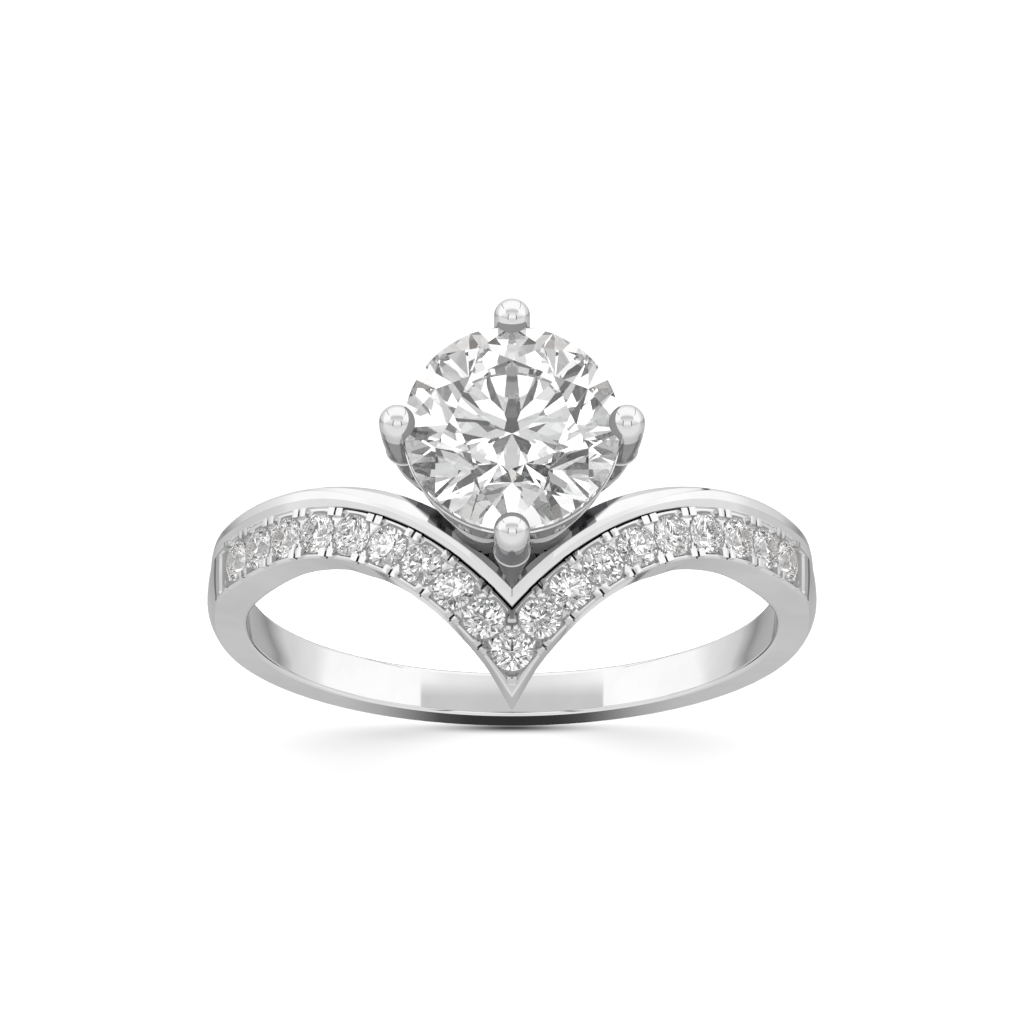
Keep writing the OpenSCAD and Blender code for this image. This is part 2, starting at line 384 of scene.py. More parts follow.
def chevronLeft(t):
    if t >= 90:
        return 0
    return max(0, 1 - band["paveRadius"] * sin(radians(t)) / band["chevronReach"])


def lineY(t):
    dip = band["chevronDepth"] * chevronLeft(t) ** band["chevronPower"]
    return band["shoulderY"] * (1 - ease(*band["shoulderSpan"], t)) - dip


def lineSlope(t):
    if t >= 90:
        return 0
    steep = band["chevronDepth"] * band["chevronPower"] / band["chevronReach"]
    return cos(radians(t)) * steep * chevronLeft(t) ** (band["chevronPower"] - 1)


def widen(t):
    return sqrt(1 + lineSlope(t) ** 2)


def frontY(t):
    point = band["pointReach"] * (1 - ease(*band["pointSpan"], t))
    edge = lineY(t) - band["paveHalf"] * widen(t) - point
    return mix(edge, -band["width"] / 2, ease(*band["shoulderSpan"], t))


def splitY(t):
    return lineY(t) + band["paveHalf"] * widen(t)


# The polished rail behind the pave. Pairs are its values near the point and at the shoulder.
polishedRail = {
    "width": (0.85, 0.64),
    "widthSpan": (8, 48),
    "ridgePlace": (0.33, 0.52),
    "placeSpan": (22, 42),
    "ridgeToBack": 0.12,  # once the ridge runs along the band's back edge
    "toBackSpan": (35, 55),
    "ridgeRise": (0.31, 0.1),
    "riseSpan": (12, 48),
    "shelf": (0.32, 0.62),  # where the fall behind the ridge starts
    "shelfSpan": (11, 20),
    "shelfFall": 0.8,
    "grooveDepth": (0.09, 0.02),
    "grooveSpan": (14, 34),
    "grooveLip": 0.035,
    "grooveMiddle": 0.005,
    "stepHeight": (0.11, 0.02),
    "stepSpan": (14, 40),
    "stepBack": 0.02,
    "sideFoot": 0.1,
    "sideCrease": 0.72,  # how far up the side its crease lies
    "frontRim": (0.07, 0.06),  # drop and width of the edge in front of the pave
    "backDrop": 0.1,
}


def backY(t):
    width = mix(*polishedRail["width"], ease(*polishedRail["widthSpan"], t))
    edge = splitY(t) + widen(t) * width
    return mix(edge, band["width"] / 2, ease(*band["backSpan"], t))


def ridgeY(t):
    place = mix(*polishedRail["ridgePlace"], ease(*polishedRail["placeSpan"], t))
    edge = splitY(t) + widen(t) * place
    back = backY(t) - polishedRail["ridgeToBack"]
    return mix(edge, back, ease(*polishedRail["toBackSpan"], t))


def ridgeRadius(t):
    rise = mix(*polishedRail["ridgeRise"], ease(*polishedRail["riseSpan"], t))
    return band["paveRadius"] + rise


def railed(t):
    # radius and y of the outside's corners, front to back
    rail, p = polishedRail, band["paveRadius"]
    k, c, s, b, q = widen(t), lineY(t), splitY(t), backY(t), ridgeY(t)
    groove = mix(*rail["grooveDepth"], ease(*rail["grooveSpan"], t))
    step = mix(*rail["stepHeight"], ease(*rail["stepSpan"], t))
    shelf = mix(*rail["shelf"], ease(*rail["shelfSpan"], t))
    drop, rim = rail["frontRim"]
    half = band["channelHalf"] * k
    ridge = ridgeRadius(t)
    return [
        (p - drop, frontY(t)),
        (p, frontY(t) + rim * k),
        (p, c - half),
        (p, c + half),
        (p, s - rail["grooveLip"] * k),
        (p - groove, s - rail["grooveMiddle"] * k),
        (p + step, s + rail["stepBack"] * k),
        (mix(p + rail["sideFoot"], ridge, rail["sideCrease"]), mix(s, q, 0.5)),
        (ridge, q),
        (mix(ridge, p, rail["shelfFall"] * shelf), mix(q, b, shelf)),
        (p - rail["backDrop"], b),
    ]


# Where the same corners lie on the plain band, from its front (-1) to its back (1)
archSteps = [-1, -0.9, -0.75, 0.25, 0.35, 0.45, 0.55, 0.7, 0.85, 0.93, 1]
cornerFillets = [0.035, 0.03, 0.022, 0.022, 0.02, 0, 0.03, 0.012, 0.03, 0.012, 0.04]


def archRadius(t, y):
    f = 2 * (y - frontY(t)) / (backY(t) - frontY(t)) - 1
    return band["radius"] - band["dome"] * f * f


def arched(t):
    spots = [mix(frontY(t), backY(t), (f + 1) / 2) for f in archSteps]
    return [(archRadius(t, y), y) for y in spots]


# Length of the pave line from its point to every tenth of a degree
lineStep = 0.1
lineEnd = 72
lineLengths = [0]
for i in range(round(lineEnd / lineStep)):
    stretched = widen((i + 0.5) * lineStep)
    lineLengths.append(lineLengths[-1] + band["paveRadius"] * radians(lineStep) * stretched)


def angleAt(length):
    # the signed angle at a length along the pave line
    side = -1 if length < 0 else 1
    for i, (before, reached) in enumerate(zip(lineLengths, lineLengths[1:])):
        if reached >= abs(length):
            return side * (i + shareOf(before, reached, abs(length))) * lineStep
    return side * lineEnd


stoneAngles = [angleAt(i * band["pavePitch"])
               for i in range(-band["pavePerArm"], band["pavePerArm"] + 1)]


def seatDepth(a, y):
    # how deep the pave rail is cut at a signed angle: a cone under every stone
    r = band["paveRadius"]
    near = min(sqrt((r * radians(a - t)) ** 2 + (y - lineY(abs(t))) ** 2) for t in stoneAngles)
    if near >= band["seatRadius"]:
        return band["channelDepth"]
    return band["seatDepth"] + (band["seatRadius"] - near) * band["seatSlope"]


def boreRadius(y):
    return band["fingerRadius"] + band["flare"] * max(0, abs(y) - band["straightHalf"])


def sectionCorners(a):
    # radius, y and fillet of every corner round the whole section at a signed angle
    t = abs(a)
    use = 1 - ease(*band["archSpan"], t)
    corners = []
    for rail, curve, fillet in zip(railed(t), arched(t), cornerFillets):
        corners.append((mix(curve[0], rail[0], use), mix(curve[1], rail[1], use), fillet))
    channel = []  # its floor, between the third corner and the fourth
    for i in range(1, band["channelColumns"]):
        y = mix(corners[2][1], corners[3][1], i / band["channelColumns"])
        depth = seatDepth(a, y) if t <= band["channelEnd"] else 0
        channel.append((mix(archRadius(t, y), band["paveRadius"], use) - depth, y, 0))
    corners[3:3] = channel
    front = frontY(t) + fromRows(band["frontLean"], t, ease)
    back, edge = backY(t), band["comfortEdge"]
    frontEdge = mix(band["frontEdge"], edge, ease(*band["frontEdgeSpan"], t))
    corners.append((boreRadius(back) + band["boreDome"], back, edge))
    for i in range(1, band["boreSteps"]):
        f = i / band["boreSteps"]
        y = mix(back - edge, front + frontEdge, f)
        corners.append((boreRadius(y) + band["boreDome"] * (2 * f - 1) ** 2, y, 0))
    corners.append((boreRadius(front) + band["boreDome"], front,
                    max(frontEdge, rounding["leastLarge"])))
    return corners


rounding = {
    "reach": 0.38,  # most of a side that a fillet takes
    "hold": 0.02,  # how far beside it the flat is held
    "holdShare": 0.1,
    "large": 0.1,  # fillets over this have more steps
    "leastLarge": 0.101,
    "steps": (3, 5),
}


def filletSteps(fillet):
    return rounding["steps"][fillet > rounding["large"]]


def roundedSection(corners):
    # fillets, with a holding point beside each so that the flats stay flat
    done = []
    count = len(corners)
    for i, (radius, y, fillet) in enumerate(corners):
        here = Vector((radius, y))
        if not fillet:
            done.append(here)
            continue
        starts, holds = [], []
        for neighbour in (corners[i - 1], corners[(i + 1) % count]):
            side = Vector(neighbour[:2]) - here
            way = side.normalized()
            start = here + way * min(fillet, rounding["reach"] * side.length)
            starts.append(start)
            holds.append(start + way * min(rounding["hold"], rounding["holdShare"] * side.length))
        done.append(holds[0])
        steps = filletSteps(fillet)
        for step in range(steps + 1):
            f = step / steps
            done.append(starts[0].lerp(here, f).lerp(here.lerp(starts[1], f), f))
        done.append(holds[1])
    return done


def cornerColumns(corners):
    # the middle column of every corner's fillet in the rounded section
    columns, start = [], 0
    for _, _, fillet in corners:
        size = filletSteps(fillet) + 3 if fillet else 1
        columns.append(start + size // 2)
        start += size
    return columns


# Strips of the band that lie in shade, in copies of the gold, most of them darker as painted
# shade:
# material, first and last corner, and the angles between which each lies, on both sides
shadedStrips = [
    (channelMaterial, 2, 22, 0, 70.5),  # floor of the channel
    (satinShadeMaterial, 1, 23, 73, 74.5),  # beyond its ends
    (cutShadeMaterial, 23, 24, 0, 34),  # line beside the polished rail
    (shadedMaterial, 24, 25, 0, 34),
    (recessShadeMaterial, 27, 30, 10.5, 24),  # back of the polished rail, beside the head
    (flankShadeMaterial, 27, 30, 0, 10.5),  # and behind it
    (cutShadeMaterial, 28, 30, 4, 17.2),
]


def bandAngles():
    # close together along the channel and farther apart round the plain band
    half = [0, 0.3, 0.7, 1.1] + [1.5 + 0.45 * i for i in range(153)] + [70.4, 70.6, 71.5]
    half += [73 + 1.5 * i for i in range(14)] + [94 + 2 * i for i in range(43)]
    return half + [180] + [-t for t in reversed(half[1:])]


def makeBand():
    angles = bandAngles()
    points = []
    for a in angles:
        section = roundedSection(sectionCorners(a))
        turn = radians(a)
        points += [(p.x * sin(turn), p.y, p.x * cos(turn)) for p in section]
    count = len(points) // len(angles)
    piece = addPiece("band", points, ringFaces(len(angles), count, True), goldMaterial)
    columns = cornerColumns(sectionCorners(0))
    boreBack = len(cornerFillets) + band["channelColumns"] - 1  # its corner at the back
    # a dark line of painted shade along the bore's back edge
    paintFaces(piece, cutShadeMaterial, [
        i * count + columns[boreBack] + j for i in range(len(angles)) for j in (-2, -1)])
    for material, first, last, nearest, widest in shadedStrips:
        paintFaces(piece, material, [
            i * count + j for i, (a, b) in enumerate(zip(angles, angles[1:] + [0]))
            if nearest <= (abs(a) + abs(b)) / 2 < widest
            for j in range(columns[first], columns[last])])
    return piece


bandPiece = makeBand()
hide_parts("metal")
print("stage: band made")


# The head: the cup under the stone and its four prongs

stone = {
    "radius": 3.2,
    "height": 15.26,  # of its girdle over the finger's axis
    "girdle": 0.045,  # this and the next three are shares of its diameter
    "table": 0.54,
    "crown": 0.154,
    "pavilion": 0.43,
    "gap": 0.04,
}


def stoneRoom(z):
    # how far the stone and its gap reach from their axis at a height
    r = stone["radius"] + stone["gap"]
    girdle = stone["girdle"] * stone["radius"]
    up = z - stone["height"]
    if up >= 0:
        rise = girdle + 2 * stone["crown"] * stone["radius"]
        table = stone["table"] * stone["radius"]
        if up <= girdle:
            return r
        return mix(r, table, (up - girdle) / (rise - girdle)) if up < rise else 0
    fall = girdle + 2 * stone["pavilion"] * stone["radius"] + stone["gap"]
    if -up <= girdle + stone["gap"]:
        return r
    return max(0, r * (fall + up) / (fall - girdle - stone["gap"]))


cup = {
    # height and radius, from the foot up
    "rows": [(9.3, 2.1), (9.9, 2.12), (11, 2.32), (12.3, 2.65), (13.6, 2.97), (14.9, 3.23)],
    "wall": 0.42,
    "rimHeight": 14.95,
    "rimDip": 0.04,  # how far the rim dips beside the prongs
    "dipSpan": (11, 20),  # degrees round the cup from a prong, between which the dip ends
    "outerTop": 0.06,  # how far below the rim the outer wall ends
    "rimEdge": (0.008, 0.02),  # the rim's outer edge, in from the wall and down
    "rimFlat": (0.25, 0.75),  # shares of the rim's width
    "innerTop": 0.03,
    "around": 160,
    "outerSteps": 18,
    "innerSteps": 8,
}


def cupRadius(z):
    return fromRows(cup["rows"], z, shareOf)


def makeCup():
    points = []
    foot = cup["rows"][0][0]
    outerSteps, innerSteps = cup["outerSteps"], cup["innerSteps"]
    for i in range(cup["around"]):
        a = 2 * pi * i / cup["around"]
        toProng = abs((degrees(a) + 45) % 90 - 45)
        top = cup["rimHeight"] - cup["rimDip"] * (1 - ease(*cup["dipSpan"], toProng))
        profile = []
        for j in range(outerSteps):
            z = mix(foot, top - cup["outerTop"], j / (outerSteps - 1))
            profile.append((cupRadius(z), z))
        outer = cupRadius(top)
        inner = max(outer - cup["wall"], stoneRoom(top))
        edgeIn, edgeDown = cup["rimEdge"]
        profile.append((outer - edgeIn, top - edgeDown))
        profile += [(mix(outer, inner, f), top) for f in cup["rimFlat"]]
        for j in range(innerSteps):
            z = mix(top - cup["innerTop"], foot, j / (innerSteps - 1))
            profile.append((max(cupRadius(z) - cup["wall"], stoneRoom(z)), z))
        points += [(r * sin(a), r * cos(a), z) for r, z in profile]
    count = len(points) // cup["around"]
    piece = addPiece("cup", points, ringFaces(cup["around"], count, True), goldMaterial)
    paintFaces(piece, shadedMaterial, [i * count + j for i in range(cup["around"])
                                       for j in range(outerSteps - 1)])


makeCup()


def newTree(name, inputs):
    # a geometry tree with named inputs; returns it with its group nodes
    tree = bpy.data.node_groups.new(name, "GeometryNodeTree")
    tree.interface.new_socket("Geometry", in_out="INPUT", socket_type="NodeSocketGeometry")
    tree.interface.new_socket("Geometry", in_out="OUTPUT", socket_type="NodeSocketGeometry")
    for label, kind, value in inputs:
        socket = tree.interface.new_socket(label, in_out="INPUT", socket_type=kind)
        if value is not None:
            socket.default_value = value
    return tree, addNode(tree, "NodeGroupInput"), addNode(tree, "NodeGroupOutput")


def finishTree(tree, groupIn, groupOut, result):
    # lays the instances down with the ring, makes them real and gives them their material
    layDown = addNode(tree, "GeometryNodeTransform", {
        "Geometry": result, "Translation": lyingPlace, "Rotation": lyingTurn.to_euler()})
    real = addNode(tree, "GeometryNodeRealizeInstances", {
        "Geometry": layDown.outputs["Geometry"]})
    paint = addNode(tree, "GeometryNodeSetMaterial", {
        "Geometry": real.outputs["Geometry"], "Material": groupIn.outputs["Material"]})
    tree.links.new(paint.outputs["Geometry"], groupOut.inputs["Geometry"])


def growPiece(name, seedMesh, tree, values):
    # runs the tree on a mesh and keeps the outcome as a plain piece
    seed = bpy.data.objects.new(name + "Seed", seedMesh)
    scene.collection.objects.link(seed)
    modifier = seed.modifiers.new("grow", "NODES")
    modifier.node_group = tree
    for item in tree.interface.items_tree:
        if item.in_out == "INPUT" and item.name in values:
            modifier[item.identifier] = values[item.name]
    bpy.context.view_layer.update()
    grown = seed.evaluated_get(bpy.context.evaluated_depsgraph_get())
    mesh = bpy.data.meshes.new_from_object(grown)
    bpy.data.objects.remove(seed)
    mesh.name = name
    return placePiece(name, mesh)


prong = {
    "width": 1.07,
    "distance": 3.39,  # of the ball's centre from the stone's axis
    "ballHeight": 15.7,
    "lip": (13.54, 13.65),  # heights between which it catches the light
    "sides": 40,
    "ballRings": 17,
    "ballEnd": 89.5,  # degrees up the ball where its top is closed
    "count": 4,
    # height, outer face's distance from the axis, width and depth
    "legRows": [
        (9.3, 2.25, 0.3, 0.45),
        (9.9, 2.55, 0.34, 0.55),
        (10.4, 2.82, 0.42, 0.7),
        (11, 3.06, 0.52, 0.8),
        (11.7, 3.29, 0.66, 0.85),
        (12.5, 3.46, 0.8, 0.88),
        (13.1, 3.56, 0.88, 0.92),
        (13.5, 3.62, 0.92, 0.94),
        (13.53, 3.66, 0.98, 0.98),
        (13.55, 3.73, 1.06, 1.04),
        (13.57, 3.755, 1.1, 1.08),
        (13.6, 3.765, 1.115, 1.095),
        (13.63, 3.755, 1.1, 1.085),
        (13.66, 3.745, 1.07, 1.07),
        (13.8, 3.76, 1.07, 1.07),
        (14.1, 3.8, 1.07, 1.07),
        (14.5, 3.85, 1.07, 1.07),
        (14.9, 3.885, 1.07, 1.07),
        (15.3, 3.915, 1.07, 1.07),
    ],
}


def prongMesh():
    rows = list(prong["legRows"])
    r = prong["width"] / 2
    for i in range(prong["ballRings"]):
        a = radians(prong["ballEnd"] * i / (prong["ballRings"] - 1))
        rows.append((prong["ballHeight"] + r * sin(a), prong["distance"] + r * cos(a),
                     2 * r * cos(a), 2 * r * cos(a)))
    points = []
    for z, outer, width, depth in rows:
        for j in range(prong["sides"]):
            a = 2 * pi * j / prong["sides"]
            x = width / 2 * sin(a)
            y = -outer + depth / 2 * (1 - cos(a))
            reach = sqrt(x * x + y * y)
            room = stoneRoom(z)
            if reach < room:  # the notch that the stone sits in
                x, y = x * room / reach, y * room / reach
            points.append(Vector((x, y, z)) * mm)
    return closedMesh("prongShape", points, ringFaces(len(rows), prong["sides"], False))


def prongTree():
    tree, groupIn, groupOut = newTree("prongsRoundStone", [
        ("Count", "NodeSocketInt", prong["count"]),
        ("Material", "NodeSocketMaterial", None),
    ])
    count = groupIn.outputs["Count"]
    spots = addNode(tree, "GeometryNodePoints", {"Count": count})
    index = addNode(tree, "GeometryNodeInputIndex").outputs["Index"]
    angle = mathNode(tree, "MULTIPLY", index, mathNode(tree, "DIVIDE", 2 * pi, count))
    spin = addNode(tree, "ShaderNodeCombineXYZ", {"Z": angle})
    stand = addNode(tree, "GeometryNodeInstanceOnPoints", {
        "Points": spots.outputs["Points"], "Instance": groupIn.outputs["Geometry"],
        "Rotation": spin.outputs["Vector"]})
    finishTree(tree, groupIn, groupOut, stand.outputs["Instances"])
    return tree


def makeProngs():
    piece = growPiece("prongs", prongMesh(), prongTree(), {
        "Count": prong["count"], "Material": goldMaterial})
    # below the balls they are in shade, but for the lip
    low, high = prong["lip"]
    shaded = [i for i, row in enumerate(prong["legRows"][:-1]) if not low < row[0] < high]
    each = len(piece.data.polygons) // prong["count"]
    paintFaces(piece, shadedMaterial, [
        k * each + i * prong["sides"] + j for k in range(prong["count"])
        for i in shaded for j in range(prong["sides"])])


makeProngs()

# The strut under the front prong: a flat, tapering face with bevelled sides
strut = {
    "height": (9.6, 13.54),  # bottom and top
    "front": (-2.99, -3.67),
    "half": (0.05, 0.52),
    "flatShare": (0.6, 0.7),
    "flatInner": 0.9,  # of the flat, where it is held beside its edges
    "bevel": (0.1, 0.24),  # how far the sides lie behind the flat
    "depth": 0.7,
    "steps": 12,
}


def makeStrut():
    points = []
    for i in range(strut["steps"] + 1):
        f = i / strut["steps"]
        z, y, w, flat, bevel = (mix(*strut[key], f) for key in
                                ("height", "front", "half", "flatShare", "bevel"))
        half = [(w, y + strut["depth"]), (w, y + bevel), (w * flat, y),
                (w * flat * strut["flatInner"], y)]
        points += [(-x, place, z) for x, place in half]
        points += [(x, place, z) for x, place in reversed(half)]
    rings = strut["steps"] + 1
    # the strut's grey is painted shade, in the darker satin gold
    addPiece("strut", points, ringFaces(rings, len(points) // rings, False), satinShadeMaterial)


makeStrut()
print("stage: head made")


# Beads between the pave stones, and dark blocks of painted shade in the cuts between the beads of
# a pair

pave = {
    "beadAcross": 0.65,
    "beadAlong": 0.155,
    "beadSize": (0.255, 0.27, 0.25),  # along the line, across it and up
    "beadSquareness": 0.72,
    "beadVariation": 0.05,
    "pointBeads": (-0.98, 1.08),
    "pointBeadSize": 1.15,
    "seed": 4,
    "cutAcross": 0.69,
    "cutSize": (0.045, 0.25, 0.07),
    "cutSquareness": 0.15,
    "cutVariation": 0.1,
    "cutDrop": 0.012,
    "cutFade": 0.6,  # how much smaller the outermost cuts are
    "fadeSpan": (38, 66),
    "blockVertices": 5,
    "ballHalf": 0.56,  # half width of the ball that the block's squareness starts from
}


def onLine(length, along, across, rise):
    # a place beside the pave line, with its upward and lengthwise directions
    a = angleAt(length)
    side = -1 if length < 0 else 1
    turn = side * atan(lineSlope(abs(a)))
    local = Vector((along * cos(turn) - across * sin(turn),
                    along * sin(turn) + across * cos(turn), rise))
    spin = Matrix.Rotation(radians(a), 3, "Y")
    base = Vector((0, lineY(abs(a)), band["paveRadius"]))
    up = spin @ Vector((0, 0, 1))
    lengthwise = spin @ Vector((cos(turn), sin(turn), 0))
    return spin @ (base + local), up, lengthwise


def spotMesh(name, spots):
    # points in the upright ring's metres, with directions and a size
    mesh = bpy.data.meshes.new(name)
    mesh.from_pydata([spot[0] * mm for spot in spots], [], [])
    for label, kind, key, column in (
        ("up", "FLOAT_VECTOR", "vector", 1),
        ("along", "FLOAT_VECTOR", "vector", 2),
        ("size", "FLOAT", "value", 3),
    ):
        layer = mesh.attributes.new(label, kind, "POINT")
        for i, spot in enumerate(spots):
            setattr(layer.data[i], key, spot[column])
    return mesh


def namedInput(tree, label, kind):
    node = addNode(tree, "GeometryNodeInputNamedAttribute", {"Name": label}, data_type=kind)
    return node.outputs["Attribute"]


def spotTree(name):
    # a rounded block on every point, turned by the point's directions
    tree, groupIn, groupOut = newTree(name, [
        ("Block size", "NodeSocketVector", (0.0002, 0.0002, 0.0002)),
        ("Squareness", "NodeSocketFloat", 0.4),
        ("Variation", "NodeSocketFloat", 0.05),
        ("Seed", "NodeSocketInt", 0),
        ("Material", "NodeSocketMaterial", None),
    ])
    given = groupIn.outputs
    sides = dict.fromkeys(("Vertices X", "Vertices Y", "Vertices Z"), pave["blockVertices"])
    cube = addNode(tree, "GeometryNodeMeshCube", {"Size": (1, 1, 1), **sides})
    where = addNode(tree, "GeometryNodeInputPosition").outputs["Position"]
    unit = addNode(tree, "ShaderNodeVectorMath", {0: where}, operation="NORMALIZE")
    ball = addNode(tree, "ShaderNodeVectorMath", {
        0: unit.outputs["Vector"], "Scale": pave["ballHalf"]}, operation="SCALE")
    blend = addNode(tree, "ShaderNodeMix", {
        "Factor": given["Squareness"], "A": ball.outputs["Vector"], "B": where},
        data_type="VECTOR")
    block = addNode(tree, "GeometryNodeSetPosition", {
        "Geometry": cube.outputs["Mesh"], "Position": blend.outputs["Result"]})
    turn = addNode(tree, "FunctionNodeAxesToRotation", {
        0: namedInput(tree, "up", "FLOAT_VECTOR"),
        1: namedInput(tree, "along", "FLOAT_VECTOR")}, primary_axis="Z", secondary_axis="X")
    vary = addNode(tree, "FunctionNodeRandomValue", {"Seed": given["Seed"]}, data_type="FLOAT")
    for label, operation in (("Min", "SUBTRACT"), ("Max", "ADD")):
        limit = [s for s in vary.inputs if s.name == label and s.type == "VALUE"][0]
        tree.links.new(mathNode(tree, operation, 1, given["Variation"]), limit)
    drawn = [s for s in vary.outputs if s.type == "VALUE"][0]
    sized = mathNode(tree, "MULTIPLY", drawn, namedInput(tree, "size", "FLOAT"))
    scale = addNode(tree, "ShaderNodeVectorMath", {0: given["Block size"], "Scale": sized},
                    operation="SCALE")
    stand = addNode(tree, "GeometryNodeInstanceOnPoints", {
        "Points": given["Geometry"], "Instance": block.outputs["Geometry"],
        "Rotation": turn.outputs["Rotation"], "Scale": scale.outputs["Vector"]})
    finishTree(tree, groupIn, groupOut, stand.outputs["Instances"])
    return tree


def beadSpots():
    spots = []
    last = band["pavePerArm"]
    for side in (-1, 1):
        for i in range(last + 1):
            for across in (-1, 1):
                for along in (-1, 1):
                    if (i < last or along * side < 0) and (i > 0 or across < 0):
                        spots.append((*onLine(
                            side * (i + 0.5) * band["pavePitch"], along * pave["beadAlong"],
                            across * pave["beadAcross"], 0), 1))
    for offset in pave["pointBeads"]:
        spots.append((Vector((0, lineY(0) + offset, band["paveRadius"])),
                      Vector((0, 0, 1)), Vector((1, 0, 0)), pave["pointBeadSize"]))
    return spots


def cutShadeSpots():
    spots = []
    for side in (-1, 1):
        for i in range(band["pavePerArm"]):
            for across in (-1, 1):
                if i or across < 0:
                    length = side * (i + 0.5) * band["pavePitch"]
                    fade = pave["cutFade"] * ease(*pave["fadeSpan"], abs(angleAt(length)))
                    spot = onLine(length, 0, across * pave["cutAcross"], -pave["cutDrop"])
                    spots.append((*spot, 1 - fade))
    return spots


growPiece("beads", spotMesh("beadSpots", beadSpots()), spotTree("roundedBeads"), {
    "Block size": [s * mm for s in pave["beadSize"]],
    "Squareness": pave["beadSquareness"],
    "Variation": pave["beadVariation"],
    "Seed": pave["seed"],
    "Material": goldMaterial,
})
# the dark blocks in the cuts are painted shade
growPiece("beadCutShade", spotMesh("cutShadeSpots", cutShadeSpots()), spotTree("cutShadeBlocks"), {
    "Block size": [s * mm for s in pave["cutSize"]],
    "Squareness": pave["cutSquareness"],
    "Variation": pave["cutVariation"],
    "Seed": pave["seed"] + 1,
    "Material": cutShadeMaterial,
})
print("stage: beads made")


# The stones

for name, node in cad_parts.items():
    if name != "metal":
        node.data.materials.clear()
        node.data.materials.append(diamondMaterial if name == "centre_stone" else paveMaterial)
print("stage: stones dressed")


# Surroundings

# Directions of the upright ring, as the world sees them
ringAxes = [turned(1, 0, 0), turned(0, 1, 0), turned(0, 0, 1)]

# Light by the angle from the ring's top towards its front: degrees, and the display value
# that metal shows there
middleLight = [
    (-180, 190), (-140, 200), (-112, 222), (-104, 234), (-86, 254), (-40, 252), (-32, 248),
    (-25, 222), (-18, 200), (-10, 200), (-4, 210), (9, 228), (20, 246), (32, 239), (43, 213),
    (55, 216), (67, 226), (109, 227), (126, 212), (148, 205), (180, 200)]
sideLight = [
    (-180, 198), (-163, 195), (-156, 178), (-152, 148), (-148, 180), (-142, 212), (-130, 218),
    (-112, 226), (-90, 250), (-20, 254), (0, 247), (20, 225), (40, 196), (43, 224), (109, 226),
    (130, 212), (148, 208), (180, 200)]
# Dark lines between the panels of the soft box: normal of the plane that each lies in,
# where it starts and ends by the same angle, half its width and its display value
softBoxGaps = [
    ((0.710, 0.603, 0.362), -112, -44, 0.024, 90),
    ((0.904, -0.256, 0.342), 7, 45, 0.05, 30),
    ((0.736, -0.510, -0.445), -112, -44, 0.024, 90),
    ((0.877, 0.302, -0.373), 10, 45, 0.05, 30),
]
gapSoftness = 0.5
# Normals of the planes between which the middle of the soft box lies up to this angle. Past
# it, towards the front, the middle lies between the second and the fourth gap.
middleEdges = [(0.775, 0.121, 0.62), (0.775, -0.121, -0.62)]
frontStart = 8

plainSky = {
    "onFloor": (0.1, 0.1, 0.1, 1),
    "behindRing": (1.05, 1.05, 1.05, 1),
}

# What the stones see over the ring: a level for the whole of it, and the lamps and dark
# flags that add to it or take from it. Each lies between two places across the finger and
# two along it, on a disc whose rim is the horizon.
stoneLight = {
    "above": 0.58,
    "below": (0.85, 0.8, 0.75, 1),
    "least": 0.03,
    "contrast": 1.53,
    "lift": -0.21,
    "softness": 0.05,
    # from and to across, from and to along, change of level
    "panels": [
        (-0.12, 0.07, -0.12, 0.22, 0.62),
        (0.21, 0.33, -0.07, 0.49, 0.8),
        (-0.36, -0.18, 0.1, 0.44, 0.61),
        (-0.6, -0.51, -0.02, 0.29, 1.07),
        (-0.15, 0.14, -0.53, -0.28, 0.72),
        (-0.53, -0.26, -0.68, -0.33, 0.36),
        (0.21, 0.45, -0.72, -0.39, 0.58),
        (-0.22, -0.14, 0.68, 0.8, 0.63),
        (0.15, 0.26, 0.68, 0.88, 1.23),
        (-0.45, 0.12, -0.22, -0.05, -0.54),
        (0.2, 0.57, -0.3, 0.02, -0.43),
        (-0.16, 0.11, 0.29, 0.49, -0.54),
        (0.24, 0.34, 0.41, 0.55, -1.97),
        (-0.13, 0.14, -0.74, -0.62, -0.67),
        (-0.68, -0.55, -0.64, -0.42, -0.66),
        (0.43, 0.66, -0.74, -0.58, -0.7),
        (0.78, 0.94, -0.08, 0.04, -0.84),
        (-0.27, -0.21, -0.64, -0.3, -0.55),
        (0.07, 0.16, -0.6, -0.29, -0.71),
        (0.47, 0.61, 0.01, 0.34, 0.7),
    ],
}


def stoneLevel(tree, x, y, z):
    # the light that the stones see in a direction
    def between(value, start, end):
        half = stoneLight["softness"] / 2
        return mathNode(tree, "MULTIPLY", softStep(tree, value, start - half, start + half),
                        softStep(tree, value, end + half, end - half))

    rise = mathNode(tree, "ADD", mathNode(tree, "ABSOLUTE", z), 1)
    squeeze = mathNode(tree, "INVERSE_SQRT", rise)
    across = mathNode(tree, "MULTIPLY", x, squeeze)
    along = mathNode(tree, "MULTIPLY", y, squeeze)
    level = stoneLight["above"]
    for left, right, near, far, change in stoneLight["panels"]:
        panel = mathNode(tree, "MULTIPLY", between(across, left, right),
                         between(along, near, far))
        level = mathNode(tree, "MULTIPLY_ADD", panel, change, level)
    level = mathNode(tree, "MULTIPLY_ADD", level, stoneLight["contrast"], stoneLight["lift"])
    level = mathNode(tree, "MAXIMUM", level, stoneLight["least"])
    isAbove = mathNode(tree, "GREATER_THAN", z, 0)
    return blendNode(tree, isAbove, stoneLight["below"], level)


